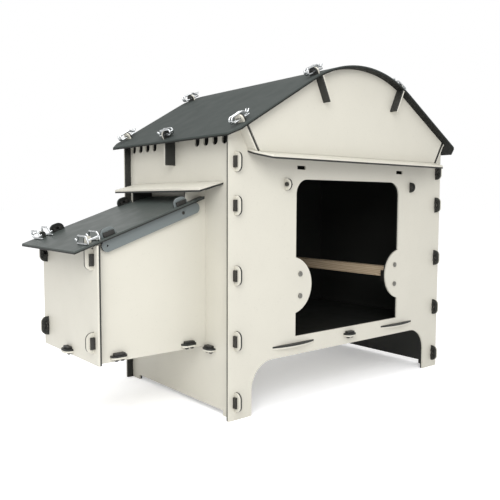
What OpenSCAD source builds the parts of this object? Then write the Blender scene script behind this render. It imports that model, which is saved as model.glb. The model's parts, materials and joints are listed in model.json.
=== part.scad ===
// Flat-pack hen coop cut from recycled plastic sheet: a raised house with an arched roof,
// a side nest box with a hinged lid, two lift-out perches and pinned door catches.
// Width is along X, depth along Y (the door side faces -Y) and height along Z, in mm.

/* [House] */
// Width of the front and rear panels
house_w = 800; // [700:10:960]
// Depth over the outer faces of the front and rear panels
house_d = 476; // [430:2:580]
// Height of the top of the roof at the panel edges
eave_z = 658; // [640:1:720]
// Thickness of the wall sheet
sheet_t = 8; // [6:0.5:10]
// Distance of each side wall's outer face from the panel edge
wall_inset = 17; // [16:0.5:24]
// Rise of a side wall's bottom edge between its feet
wall_foot_z = 12; // [8:1:20]
// Length of a side wall's feet
wall_foot = 36; // [20:1:60]

/* [Legs and floor] */
// Width of each leg
leg_w = 67; // [56:1:90]
// Height of the underside of the beam between the legs
beam_z = 124; // [110:1:130]
// Radius of the arch corners
arch_r = 64; // [30:1:80]
// Height of the floor's middle plane
floor_z = 149; // [140:1:155]
// Length of the shallow rests that carry the foot of a door
rest_len = 138; // [90:1:150]
// Reach of the door rests
rest_reach = 11; // [6:1:14]

/* [Doorway] */
// Left edge of the doorway
door_x = 206; // [190:1:240]
// Width of the doorway
door_w = 397; // [340:1:410]
// Sill height of the doorway
door_z = 169; // [162:1:180]
// Height of the doorway
door_h = 383; // [330:1:383]
// Radius of the top corners
door_r = 36; // [10:1:60]
// Radius of the ears that stand in the doorway
ear_r = 70; // [66:1:80]
// Height of the ears' centre
ear_z = 295; // [285:1:310]
// Distance of each ear's centre outside the doorway
ear_out = 16; // [8:1:20]

/* [Door catches] */
// Position of the left catch plate
catch_left_x = 172; // [160:1:185]
// Position of the right catch plate
catch_right_x = 655; // [630:1:670]
// Height of the catches
catch_z = 539; // [500:1:545]
// Height of a catch tab
catch_h = 28; // [26:1:44]
// Reach of a catch tab
catch_reach = 17; // [15:1:24]
// Radius of a catch pin
pin_r = 2.5; // [2:0.1:3]

/* [Roof] */
// Thickness of the roof and lid sheet
roof_t = 6; // [5:0.5:8]
// Slope of the straight flanks
roof_slope = 30.7; // [28:0.1:33]
// Radius of the crown's outer face
crown_r = 362; // [300:1:380]
// Side overhang of the roof past the panel edge
roof_side = 21; // [18:1:30]
// End overhang of the roof past the panel face
roof_end = 45; // [40:1:60]
// Leg of the chamfer at the roof corners
roof_chamfer = 22; // [10:1:30]

/* [Gable] */
// Distance of the gable board's outer face from the panel face
gable_out = 25; // [20:1:30]
// Where a cheek plate's outer face meets the roof, from the panel edge
cheek_x = 24; // [20:1:40]
// Top height of the gable sill at the panel face
sill_z = 617; // [612:1:625]
// Reach of the gable sill
sill_reach = 60; // [56:1:80]
// Slope of the gable sill and of the nest ledge
sill_slope = 15; // [12:0.5:20]
// Distance of a purlin from the ridge, at the roof
purlin_off = 155; // [120:1:170]
// Depth of a purlin
purlin_h = 64; // [50:1:70]
// Place of the eave brackets along the depth
eave_bracket_y = 246; // [225:1:255]
// Reach of an eave bracket past the panel edge
eave_bracket_out = 10; // [8:1:17]
// Lower edge of the eave brackets
eave_bracket_z = 587; // [580:1:600]

/* [Vents] */
// Width of a vent notch
vent_w = 20; // [10:1:22]
// Bottom height of the vent notches
vent_z = 628; // [622:1:640]
// Spacing of the vent notches
vent_pitch = 36; // [30:1:40]
// First vent notch from the front
vent_front = 38; // [34:1:44]
// First vent notch from the rear
vent_rear = 27; // [26:1:44]

/* [Nest box] */
// Reach of the nest box from the panel edge
nest_reach = 270; // [240:1:300]
// Width over the nest box sides
nest_w = 252; // [220:2:290]
// Overhang of the end panel past the sides
nest_end_lap = 18; // [14:1:22]
// Bottom height of the nest box
nest_z = 153; // [150:1:158]
// Height of the nest floor's middle plane
nest_floor_z = 163; // [161:1:170]
// Reach of the lid's outer edge from the panel edge
lid_reach = 320; // [312:1:345]
// Top height of the lid's outer edge
lid_tip_z = 397; // [385:1:400]
// Slope of the lid
lid_slope = 19.5; // [17:0.1:21]
// Overhang of the lid past the end panel's sides
lid_lap = 3; // [1:1:8]
// Depth of the lid's side skirts
skirt_h = 26; // [24:0.5:30]
// Top height of the ledge at the wall
ledge_z = 545; // [540:1:556]
// Reach of the ledge past the panel edge
ledge_reach = 50; // [44:1:56]
// Overhang of the ledge past the nest sides
ledge_lap = 70; // [40:1:90]

/* [Perches] */
// Width of a perch
perch_w = 30; // [24:1:34]
// Height of a perch
perch_h = 28; // [22:1:30]

/* [Tabs and clips] */
// Length of a corner tab
tab_w = 44; // [40:1:60]
// Reach of a corner tab past the panel face
tab_reach = 17; // [15:0.5:22]
// Corner radius of a tab
tab_r = 14; // [6:1:16]
// Length of a floor tab
floor_tab_w = 38; // [34:1:50]
// Length of a clip
clip_w = 26; // [24:1:30]
// Depth of a clip away from the panel
clip_d = 10; // [9.5:0.5:12]
// Thickness of a clip's body on the tab
clip_t = 5.5; // [4:0.5:8]
// Radius of the roof clips' wire
wire_r = 2.2; // [1.8:0.1:2.4]

/* [Hidden] */
play = 0.3;
seat = 0.2;
pin_play = 0.06;
t = sheet_t;

// Corner tab heights, from the floor up.
tab_zs = [42, 183, 332, 489, 586];
// Length of the part of a tab that lies behind its panel face, and its clip slot.
tab_root = t + 6;
slot_w = 23;
slot_0 = 2.4;
slot_1 = 8.6;
// A floor rest stands below each lower corner of the doorway.
rest_xs = [door_x - 5, door_x + door_w];

// Roof section: straight flanks that run tangent into a round crown.
roof_tan = tan(roof_slope);
crown_x = crown_r * sin(roof_slope);
flank_x = house_w / 2 - crown_x;
flank_z = eave_z + flank_x * roof_tan;
crown_z = flank_z - crown_r * cos(roof_slope);
under_r = crown_r - roof_t;
under_drop = roof_t / cos(roof_slope);
function under_z(x) = eave_z + x * roof_tan - under_drop;
crown_steps = 48;
// The roof section moved in by d, from the left at x0 to the right at x1.
function roof_line(x0, x1, d) = concat(
  [[x0, eave_z + x0 * roof_tan - d / cos(roof_slope)]],
  [for (i = [0:crown_steps]) let (a = roof_slope * (1 - 2 * i / crown_steps))
    [house_w / 2 - (crown_r - d) * sin(a), crown_z + (crown_r - d) * cos(a)]],
  [[x1, eave_z + (house_w - x1) * roof_tan - d / cos(roof_slope)]]);
function backwards(list) = [for (i = [len(list) - 1:-1:0]) list[i]];

wall_x = wall_inset;
wall_in_x = wall_x + t;
wall_top = under_z(wall_x) - play;
leg_gap = house_w - 2 * leg_w;

// Gable sill: its top falls forwards from the panel face.
sill_tan = tan(sill_slope);
sill_drop = t / cos(sill_slope);
// Foot of a cheek plate where it meets the sill.
cheek_len = (under_z(cheek_x) - sill_z) / cos(roof_slope);
sill_x = cheek_x + cheek_len * sin(roof_slope);
sill_chamfer = 25;
sill_tab_w = 60;
sill_tab_xs = [house_w / 4, house_w * 3 / 4];

// A cheek's roof tab stands clear of the end panel behind it.
cheek_tab_y = -gable_out / 2 - 1;

// Inner length of an eave bracket and the place of its roof tab.
bracket_in = 95;
bracket_tab_x = 2;

// Purlins lie on radii of the crown.
purlin_a = asin(purlin_off / under_r);

// Roof tabs and their wire clips.
roof_tab_w = 26;
roof_tab_h = 17;
wire_y = 4.5;
wire_low = 7;
wire_top = roof_tab_h + wire_r + play + 0.5;
wire_bend_x = -20;
wire_dip_x = 22;
wire_tip_x = 26;
wire_hole_w = 2 * (wire_y + wire_r + play);
wire_hole_h = 2 * (wire_r + play);

// Nest box.
nest_mid = house_d / 2;
nest_y0 = nest_mid - nest_w / 2;
nest_y1 = nest_mid + nest_w / 2;
end_x = -nest_reach;
lid_tan = tan(lid_slope);
lid_drop = roof_t / cos(lid_slope);
function lid_top(x) = lid_tip_z + (x + lid_reach) * lid_tan;
lid_in_x = 0;
lid_y0 = nest_y0 - nest_end_lap - lid_lap;
lid_w = nest_w + 2 * nest_end_lap + 2 * lid_lap;
side_gap = 1.5;
skirt_t = roof_t;
skirt_y0 = nest_y0 - 4 - skirt_t;
skirt_r = skirt_h / 2;
skirt_x0 = -260;
skirt_x1 = -14;
skirt_tab_xs = [-238, -58];
skirt_tab_w = 36;
skirt_tab_h = 18;
// Lid hinge: on the skirts' middle line, under the ledge's outer edge.
hinge_top_x = -58;
hinge_off = roof_t + seat + skirt_r;
hinge_x = hinge_top_x + hinge_off * sin(lid_slope);
hinge_z = lid_top(hinge_top_x) - hinge_off * cos(lid_slope);
hinge_r = 4;
// The side panels rise through notches in the lid to carry the ledge.
post_x = -38;
notch_x = -62;
// Lock ears rise through the lid beside the end panel.
ear_x0 = end_x - tab_reach;
lock_w = 14;
lock_top = lid_top(ear_x0 + lock_w / 2) + 15;
lock_z = 376;
nest_tab_zs = [200, lock_z];
nest_wall_tab_w = 46;
nest_wall_tab_zs = [235, 420];
side_floor_tab_xs = [-215, -34];
ledge_tan = tan(sill_slope);
ledge_drop = t / cos(sill_slope);
function ledge_top(x) = ledge_z - (wall_x - x) * ledge_tan;
ledge_tab_w = 50;
ledge_tab_ys = [nest_mid - 120, nest_mid + 120];

// Perches hang behind the ears.
ear_left_x = door_x - ear_out;
ear_right_x = door_x + door_w + ear_out;
screw_off = 14 + ear_out;
screw_left_x = ear_left_x + screw_off;
screw_right_x = ear_right_x - screw_off;
screw_gap = 54;
screw_r = 2.5;
perch_top = ear_z + 20;
perch_y0 = t + 4 + play;

floor_side_ys = [92, house_d - 92];
// Place of a catch pin in front of the panel face.
catch_hole_y = -9.5;

// Whole-object box, used to put the origin under its middle.
mid_x = (house_w + roof_side - lid_reach) / 2;

cream = "#E3E1D5";
slate = "#6E7478";
ink = "#1C1B18";
steel = "#C9CCCE";
timber = "#B5A896";

// ---- Placing helpers ----

// Puts house coordinates (front-left corner of the front panel at zero) in the part's frame.
module placed() {
  translate([-mid_x, -house_d / 2, 0]) children();
}

// A plate drawn in X and Z, from y0 to y0 + thick.
module xz_plate(y0, thick) {
  translate([0, y0 + thick, 0]) rotate([90, 0, 0]) linear_extrude(thick) children();
}

// A plate drawn in Y and Z, from x0 to x0 + thick.
module yz_plate(x0, thick) {
  translate([x0, 0, 0]) rotate([90, 0, 90]) linear_extrude(thick) children();
}

// Copies to the right half of the house.
module right_side() {
  translate([house_w, 0, 0]) mirror([1, 0, 0]) children();
}

// Copies to the rear half of the house.
module rear_side() {
  translate([0, house_d, 0]) mirror([0, 1, 0]) children();
}

// A frame on the lid's top face at x, with its own X up the slope.
module on_lid(x) {
  translate([x, 0, lid_top(x)]) rotate([0, -lid_slope, 0]) children();
}

// A frame on the roof's underside at the left cheek, with its own Z square to the roof.
module on_flank(x) {
  translate([x, 0, under_z(x)]) rotate([0, -roof_slope, 0]) children();
}

// A frame on the crown's underside, a degrees left of the ridge.
module on_crown(a) {
  translate([house_w / 2, 0, crown_z]) rotate([0, -a, 0]) translate([0, 0, under_r]) children();
}

// ---- Sheet shapes ----

// Outline under the roof: x from x0 to x1, up to the roof section moved in by d.
module under_roof(x0, x1, d) {
  polygon(concat([[x0, 0]], roof_line(x0, x1, d), [[x1, 0]]));
}

// A tab of width w that reaches out along +Y from zero, with a root behind it.
module tab(w, reach, root) {
  r = min(tab_r, reach - 3);
  translate([-w / 2, -root]) square([w, reach - r + root]);
  translate([r - w / 2, -root]) square([w - 2 * r, reach + root]);
  for (s = [-1, 1]) translate([s * (w / 2 - r), reach - r]) circle(r, $fn = 48);
}

// The clip slot of a tab.
module clip_slot() {
  translate([-slot_w / 2, slot_0]) square([slot_w, slot_1 - slot_0]);
}

// A rectangle with play all round, for a tab of width w and sheet thickness th to pass through.
module pass_slot(w, th) {
  square([w + 2 * play, th + 2 * play], center = true);
}

// ---- Clips ----

// Push-in clip on a tab that lies in the YZ plane with its outer face at x = 0 and
// reaches along -Y from a panel face at y = 0. barb is the length of the prongs' points.
module push_clip(thick = sheet_t, barb = 2.2) {
  corner = 2;
  prong_w = 6;
  translate([-clip_t, -clip_d, -clip_w / 2]) {
    translate([0, 0, corner]) cube([clip_t - seat, clip_d - seat, clip_w - 2 * corner]);
    translate([corner, 0, 0]) cube([clip_t - corner - seat, clip_d - seat, clip_w]);
    for (z = [corner, clip_w - corner]) translate([corner, 0, z]) rotate([-90, 0, 0])
      cylinder(r = corner, h = clip_d - seat, $fn = 24);
  }
  for (s = [-1, 1]) translate([0, 0, s * 7.2]) {
    translate([-1, -slot_1 + 0.6, -prong_w / 2]) cube([thick + 3, slot_1 - slot_0 - 1.2, prong_w]);
    translate([thick + seat, -slot_1 - 0.6, -prong_w / 2 - 0.5]) cube([2.6, 8.4, prong_w + 1]);
    translate([thick + seat + 2.5, -(slot_0 + slot_1) / 2 - 2.6, -prong_w / 2])
      cube([barb + 0.1, 5.2, prong_w]);
  }
}

// The same clip on a horizontal tab that reaches along -Y, with its body on top at z = 0.
module flat_clip(thick = sheet_t) {
  rotate([0, 90, 0]) push_clip(thick);
}

// Middle line of a hairpin in X and Z: a low leg, a round closed end at -X and an upper leg
// that dips and flares at its tip.
function hairpin_line(low) = let (r = (wire_top - low) / 2) concat(
  [[wire_tip_x, low]],
  [for (a = [270:-15:90]) [wire_bend_x + r * cos(a), low + r + r * sin(a)]],
  [[wire_dip_x - 13, wire_top], [wire_dip_x, low + 5], [wire_dip_x + 7, low + 9]]);

// Left-hand normal of the way from p to q.
function normal(p, q) = [p[1] - q[1], q[0] - p[0]] / norm(q - p);

// A line moved to its left by d, with mitred corners.
function beside(line, d) = [for (i = [0:len(line) - 1])
  let (k = len(line) - 1, a = normal(line[max(i, 1) - 1], line[max(i, 1)]),
    b = normal(line[min(i, k - 1)], line[min(i, k - 1) + 1]))
  line[i] + d * (a + b) / (1 + a * b)];

module hairpin(low) {
  line = hairpin_line(low);
  polygon(concat(beside(line, wire_r), backwards(beside(line, -wire_r))));
}

// Cross wire that joins the closed ends of two hairpins gap to either side of y = 0.
module wire_bridge(gap, low) {
  r = (wire_top - low) / 2;
  half = wire_r - 0.3;
  translate([wire_bend_x - r - half, -gap, low + r - half]) cube([2 * half, 2 * gap, 2 * half]);
}

// Spring clip of two hairpins side by side. They run through a roof tab in the YZ plane at
// x = 0, with the roof's outer face at z = 0.
module wire_clip() {
  for (s = [-1, 1]) xz_plate(s * wire_y - wire_r, 2 * wire_r) hairpin(wire_low);
  wire_bridge(wire_y, wire_low);
}

// Saddle version for the lid: its legs lie either side of a lock ear instead of through
// it, so that the lid carries its clips as it lifts. The ear stands at x = 0, y = 0.
module saddle_clip() {
  gap = lock_w / 2 + wire_r + 4;
  low = wire_r + play / 2;
  for (s = [-1, 1]) xz_plate(s * gap - wire_r, 2 * wire_r) hairpin(low);
  wire_bridge(gap, low);
}

// A tab of the roof fixings, in the YZ plane: it rises along Z from a plate's top at z = 0.
module roof_tab(y_mid, thick) {
  rise = roof_t + play + roof_tab_h;
  difference() {
    translate([-thick / 2, 0, 0]) rotate([90, 0, 90]) linear_extrude(thick)
      translate([y_mid, 0]) {
        translate([-roof_tab_w / 2, -5]) square([roof_tab_w, rise - 5]);
        translate([10 - roof_tab_w / 2, -5]) square([roof_tab_w - 20, rise + 5]);
        for (s = [-1, 1]) translate([s * (roof_tab_w / 2 - 10), rise - 10]) circle(10, $fn = 48);
      }
    translate([-thick, y_mid - wire_hole_w / 2, roof_t + play + wire_low - wire_hole_h / 2])
      cube([2 * thick, wire_hole_w, wire_hole_h]);
  }
}

// ---- House ----

// Slots that both end panels share: corner tabs, sill tabs and purlins.
module end_panel_blank() {
  difference() {
    xz_plate(0, t) difference() {
      under_roof(0, house_w, roof_t + play);
      translate([leg_w, -1]) square([leg_gap, beam_z - arch_r + 1]);
      translate([leg_w + arch_r, 0]) square([leg_gap - 2 * arch_r, beam_z]);
      for (x = [leg_w + arch_r, house_w - leg_w - arch_r])
        translate([x, beam_z - arch_r]) circle(arch_r, $fn = 96);
      for (x = [wall_x + t / 2, house_w - wall_x - t / 2], z = tab_zs)
        translate([x, z]) pass_slot(t, tab_w);
      for (x = sill_tab_xs) translate([x, sill_z - sill_drop / 2]) pass_slot(sill_tab_w, t);
      translate([house_w / 2, floor_z]) pass_slot(floor_tab_w, t);
    }
    purlin_slot();
    right_side() purlin_slot();
  }
}

module purlin_slot() {
  on_crown(purlin_a) translate([-t / 2 - play, -50, -purlin_h - play])
    cube([t + 2 * play, 100, purlin_h + 20]);
}

module front_panel() {
  color(cream) difference() {
    union() {
      difference() {
        end_panel_blank();
        xz_plate(-1, t + 2) doorway();
      }
      xz_plate(0, t) ears();
    }
    xz_plate(-1, t + 2) {
      for (x = [door_x + 16, door_x + door_w]) translate([x, catch_z + 41]) square([28, 9], center = true);
      for (x = [catch_left_x, catch_right_x]) translate([x, catch_z]) pass_slot(t, catch_h);
      for (x = rest_xs) translate([x, floor_z]) pass_slot(rest_len, t);
    }
    screw_holes();
  }
}

module doorway() {
  translate([door_x, door_z]) square([door_w, door_h - door_r]);
  translate([door_x + door_r, door_z]) square([door_w - 2 * door_r, door_h]);
  for (x = [door_x + door_r, door_x + door_w - door_r])
    translate([x, door_z + door_h - door_r]) circle(door_r, $fn = 64);
}

module ears() {
  for (x = [ear_left_x, ear_right_x]) translate([x, ear_z]) circle(ear_r, $fn = 96);
}

module screw_holes() {
  for (x = [screw_left_x, screw_right_x], s = [-1, 1])
    translate([x, t / 2, ear_z + s * screw_gap / 2]) rotate([90, 0, 0])
      cylinder(r = screw_r + 0.1, h = t + 2, center = true, $fn = 24);
}

module rear_panel() {
  color(cream) rear_side() difference() {
    end_panel_blank();
    screw_holes();
  }
}

// Outline of a side wall in Y and Z, with its corner tabs.
module wall_outline() {
  y0 = t + seat;
  y1 = house_d - t - seat;
  difference() {
    union() {
      translate([y0, 0]) square([y1 - y0, wall_top]);
      for (z = tab_zs) {
        translate([0, z]) rotate(90) tab(tab_w, tab_reach, tab_root);
        translate([house_d, z]) rotate(-90) tab(tab_w, tab_reach, tab_root);
      }
    }
    for (z = tab_zs) {
      translate([0, z]) rotate(90) clip_slot();
      translate([house_d, z]) rotate(-90) clip_slot();
    }
    translate([wall_foot + t, -1]) square([house_d - 2 * (wall_foot + t), wall_foot_z + 1]);
    for (i = [0:3]) {
      translate([vent_front + i * vent_pitch, 0]) vent();
      translate([house_d - vent_rear - i * vent_pitch, 0]) vent();
    }
    for (y = floor_side_ys) translate([y, floor_z]) pass_slot(floor_tab_w, t);
    translate([eave_bracket_y - t / 2 - play, eave_bracket_z - play])
      square([t + 2 * play, wall_top]);
  }
}

module vent() {
  translate([0, vent_z + vent_w / 2]) circle(d = vent_w, $fn = 32);
  translate([-vent_w / 2, vent_z + vent_w / 2]) square([vent_w, wall_top]);
}

module left_wall() {
  color(cream) yz_plate(wall_x, t) difference() {
    wall_outline();
    for (y = [nest_y0 + t / 2, nest_y1 - t / 2], z = nest_wall_tab_zs)
      translate([y, z]) pass_slot(t, nest_wall_tab_w);
    for (y = ledge_tab_ys) translate([y, ledge_z - ledge_drop / 2]) pass_slot(ledge_tab_w, t);
    nest_doorway();
  }
}

// Way from the house into the nest box.
module nest_doorway() {
  w = nest_w - 2 * t - 44;
  r = 40;
  z0 = nest_floor_z + 46;
  h = 210;
  translate([nest_mid - w / 2, z0]) {
    translate([0, 0]) square([w, h - r]);
    translate([r, 0]) square([w - 2 * r, h]);
    for (y = [r, w - r]) translate([y, h - r]) circle(r, $fn = 64);
  }
}

module right_wall() {
  color(cream) right_side() yz_plate(wall_x, t) wall_outline();
}

module floor_panel() {
  x0 = wall_in_x + seat;
  x1 = house_w - wall_in_x - seat;
  color(slate) translate([0, 0, floor_z - t / 2]) linear_extrude(t) difference() {
    union() {
      translate([x0, t + seat]) square([x1 - x0, house_d - 2 * (t + seat)]);
      translate([house_w / 2, 0]) rotate(180) tab(floor_tab_w, tab_reach, tab_root);
      translate([house_w / 2, house_d]) tab(floor_tab_w, tab_reach, tab_root);
      for (y = floor_side_ys) {
        translate([wall_x, y]) rotate(90) tab(floor_tab_w, tab_reach, tab_root);
        translate([house_w - wall_x, y]) rotate(-90) tab(floor_tab_w, tab_reach, tab_root);
      }
      for (x = rest_xs) translate([x, 0]) door_rest();
    }
    translate([house_w / 2, 0]) rotate(180) clip_slot();
    translate([house_w / 2, house_d]) clip_slot();
    for (y = floor_side_ys) {
      translate([wall_x, y]) rotate(90) clip_slot();
      translate([house_w - wall_x, y]) rotate(-90) clip_slot();
    }
  }
}

// Shallow lens-shaped rest that reaches through the beam along -Y.
module door_rest() {
  chord = rest_len - 2;
  r = (chord * chord / 4 + rest_reach * rest_reach) / (2 * rest_reach);
  translate([-rest_len / 2, 0]) square([rest_len, tab_root]);
  intersection() {
    translate([0, r - rest_reach]) circle(r, $fn = 360);
    translate([-rest_len / 2, -rest_reach - 1]) square([rest_len, rest_reach + 1 + t]);
  }
}

// ---- Gable ----

// Everything below the sill's top face, as a prism along X.
module below_sill(gap) {
  translate([-100, 0, 0]) rotate([90, 0, 90]) linear_extrude(house_w + 200)
    polygon([[20, 0], [20, sill_z + gap + 20 * sill_tan],
      [-150, sill_z + gap - 150 * sill_tan], [-150, 0]]);
}

module gable_board() {
  board_x = cheek_x + (t + seat) / cos(roof_slope);
  color(cream) difference() {
    xz_plate(-gable_out, t) difference() {
      under_roof(0, house_w, roof_t + play);
      for (s = [0, 1]) translate([s * house_w, 0]) mirror([s, 0])
        translate([board_x, under_z(board_x)]) rotate(roof_slope)
          translate([-300, -400]) square([300, 800]);
    }
    below_sill(seat);
    purlin_slot();
    right_side() purlin_slot();
  }
}

module front_gable_board() { gable_board(); }
module rear_gable_board() { rear_side() gable_board(); }

module cheek() {
  y0 = -gable_out;
  color(cream) difference() {
    on_flank(cheek_x) {
      translate([0, y0, -cheek_len - 30]) cube([t, gable_out - seat, cheek_len + 30 - play]);
      translate([t / 2, 0, -play]) roof_tab(cheek_tab_y, t);
    }
    below_sill(seat);
  }
}

module front_left_cheek() { cheek(); }
module front_right_cheek() { right_side() cheek(); }
module rear_left_cheek() { rear_side() cheek(); }
module rear_right_cheek() { rear_side() right_side() cheek(); }

// Sloping sill, with tabs through the end panel.
module sill() {
  x0 = sill_x;
  w = house_w - 2 * x0;
  color(cream) difference() {
    union() {
      translate([x0, 0, 0]) rotate([90, 0, 90]) linear_extrude(w)
        polygon([[-seat, sill_z - sill_drop - seat * sill_tan], [-seat, sill_z - seat * sill_tan],
          [-sill_reach, sill_z - sill_reach * sill_tan],
          [-sill_reach, sill_z - sill_drop - sill_reach * sill_tan]]);
      for (x = sill_tab_xs) translate([x - sill_tab_w / 2, -4, sill_z - sill_drop / 2 - t / 2 + play / 2])
        cube([sill_tab_w, t + 10, t - play]);
    }
    for (s = [0, 1]) translate([s * house_w, 0, 0]) mirror([s, 0, 0])
      translate([0, 0, sill_z - 100]) linear_extrude(200)
        polygon([[x0 - 1, -gable_out], [x0, -gable_out], [x0 + sill_chamfer, -sill_reach],
          [x0 + sill_chamfer, -sill_reach - 1], [x0 - 1, -sill_reach - 1]]);
  }
}

module front_sill() { sill(); }
module rear_sill() { rear_side() sill(); }

// Purlin from gable to gable, square to the crown.
module purlin() {
  color(slate) on_crown(purlin_a) {
    translate([-t / 2, -roof_end, -purlin_h]) cube([t, house_d + 2 * roof_end, purlin_h - play]);
    translate([0, 0, -play]) {
      roof_tab(-gable_out + t / 2, t);
      roof_tab(house_d + gable_out - t / 2, t);
    }
  }
}

module left_purlin() { purlin(); }
module right_purlin() { right_side() purlin(); }

// Bracket at the middle of an eave: it crosses the wall and rises through the roof.
module eave_bracket() {
  color(slate) {
    xz_plate(eave_bracket_y - t / 2, t) polygon([
      [-eave_bracket_out, eave_bracket_z], [bracket_in, eave_bracket_z],
      [bracket_in, eave_bracket_z + 26], [bracket_in - 20, under_z(bracket_in - 20) - play],
      [-eave_bracket_out, under_z(-eave_bracket_out) - play]]);
    on_flank(bracket_tab_x) translate([0, eave_bracket_y, -play]) rotate([0, 0, 90])
      roof_tab(0, t);
  }
}

module left_eave_bracket() { eave_bracket(); }
module right_eave_bracket() { right_side() eave_bracket(); }

// Slots in the roof for the tabs of one side.
module roof_slots() {
  for (y = [cheek_tab_y, house_d - cheek_tab_y]) on_flank(cheek_x)
    translate([t / 2, y, 0]) cube([t + 2 * play, roof_tab_w + 2 * play, 40], center = true);
  for (y = [-gable_out + t / 2, house_d + gable_out - t / 2]) on_crown(purlin_a)
    translate([0, y, 0]) cube([t + 2 * play, roof_tab_w + 2 * play, 40], center = true);
  on_flank(bracket_tab_x) translate([0, eave_bracket_y, 0])
    cube([roof_tab_w + 2 * play, t + 2 * play, 40], center = true);
}

module roof_sheet() {
  x1 = house_w + roof_side;
  color(slate) difference() {
    xz_plate(-roof_end, house_d + 2 * roof_end)
      polygon(concat(roof_line(-roof_side, x1, 0), backwards(roof_line(-roof_side, x1, roof_t))));
    for (x = [-roof_side, x1], y = [-roof_end, house_d + roof_end])
      translate([x, y, eave_z]) rotate([0, 0, 45])
        cube([roof_chamfer * sqrt(2), roof_chamfer * sqrt(2), 200], center = true);
    roof_slots();
    right_side() roof_slots();
  }
}

// ---- Nest box ----

module nest_floor() {
  x0 = end_x + t + seat;
  x1 = wall_x - seat;
  color(cream) translate([0, 0, nest_floor_z - t / 2]) linear_extrude(t) difference() {
    union() {
      translate([x0, nest_y0 + t + seat]) square([x1 - x0, nest_w - 2 * (t + seat)]);
      translate([end_x, nest_mid]) rotate(90) tab(floor_tab_w, tab_reach, tab_root);
      for (x = side_floor_tab_xs) {
        translate([x, nest_y0]) rotate(180) tab(floor_tab_w, tab_reach - 4, tab_root);
        translate([x, nest_y1]) tab(floor_tab_w, tab_reach - 4, tab_root);
      }
    }
    translate([end_x, nest_mid]) rotate(90) clip_slot();
    for (x = side_floor_tab_xs) {
      translate([x, nest_y0]) rotate(180) clip_slot();
      translate([x, nest_y1]) clip_slot();
    }
  }
}

// Side of the nest box: it carries the ledge on a post and locks the lid with an ear.
module nest_side() {
  x1 = wall_x - seat;
  x0 = end_x + t + seat;
  top = lid_drop + side_gap;
  color(cream) difference() {
    xz_plate(nest_y0, t) difference() {
      union() {
        polygon([[x0, nest_z], [x1, nest_z], [x1, ledge_top(x1) - ledge_drop - seat],
          [post_x, ledge_top(post_x) - ledge_drop - seat], [post_x, lid_top(post_x) - top],
          [x0, lid_top(x0) - top]]);
        for (z = nest_tab_zs) translate([end_x, z]) rotate(90) tab(tab_w, tab_reach, tab_root);
        translate([ear_x0, lock_z]) square([lock_w, lock_top - lock_z - lock_w / 2]);
        translate([ear_x0 + lock_w / 2, lock_top - lock_w / 2]) circle(lock_w / 2, $fn = 48);
        for (z = nest_wall_tab_zs)
          translate([wall_in_x, z]) rotate(-90) tab(nest_wall_tab_w, tab_reach - 2, tab_root);
      }
      for (z = nest_tab_zs) translate([end_x, z]) rotate(90) clip_slot();
      for (z = nest_wall_tab_zs) translate([wall_in_x, z]) rotate(-90) clip_slot();
      for (x = side_floor_tab_xs) translate([x, nest_floor_z]) pass_slot(floor_tab_w, t);
    }
    translate([hinge_x, nest_y0 + t / 2, hinge_z]) rotate([90, 0, 0])
      cylinder(r = hinge_r + pin_play, h = t + 2, center = true, $fn = 48);
  }
}

module nest_front_side() { nest_side(); }
module nest_rear_side() { rear_side() nest_side(); }

module nest_end_panel() {
  top = lid_top(end_x) - lid_drop - side_gap;
  color(cream) yz_plate(end_x, t) difference() {
    translate([nest_y0 - nest_end_lap, nest_z])
      square([nest_w + 2 * nest_end_lap, top - nest_z]);
    for (y = [nest_y0 + t / 2, nest_y1 - t / 2], z = nest_tab_zs)
      translate([y, z]) pass_slot(t, tab_w);
    translate([nest_mid, nest_floor_z]) pass_slot(floor_tab_w, t);
  }
}

module nest_ledge() {
  y0 = nest_y0 - ledge_lap;
  w = nest_w + 2 * ledge_lap;
  x1 = wall_x - seat;
  color(cream) {
    xz_plate(y0, w) polygon([[x1, ledge_top(x1)], [-ledge_reach, ledge_top(-ledge_reach)],
      [-ledge_reach, ledge_top(-ledge_reach) - ledge_drop], [x1, ledge_top(x1) - ledge_drop]]);
    for (y = ledge_tab_ys)
      translate([x1 - 4, y - ledge_tab_w / 2, ledge_z - ledge_drop / 2 - t / 2 + play / 2])
        cube([t + 14, ledge_tab_w, t - play]);
  }
}

module nest_lid() {
  x0 = -lid_reach;
  color(slate) difference() {
    xz_plate(lid_y0, lid_w) polygon([[x0, lid_top(x0)], [lid_in_x, lid_top(lid_in_x)],
      [lid_in_x, lid_top(lid_in_x) - lid_drop], [x0, lid_top(x0) - lid_drop]]);
    lid_cuts();
    rear_side() lid_cuts();
  }
}

// Openings of one half of the lid: post notch, lock ear slot and skirt tab slots.
module lid_cuts() {
  side = 1.5;
  translate([notch_x, nest_y0 - side, 400]) cube([100, t + 2 * side, 200]);
  translate([ear_x0 - 2, nest_y0 - side, 300]) cube([lock_w + 9, t + 2 * side, 200]);
  for (x = skirt_tab_xs) on_lid(x) translate([0, skirt_y0 + skirt_t / 2, 0])
    cube([skirt_tab_w + 2 * play, skirt_t + 2 * play, 30], center = true);
}

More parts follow.
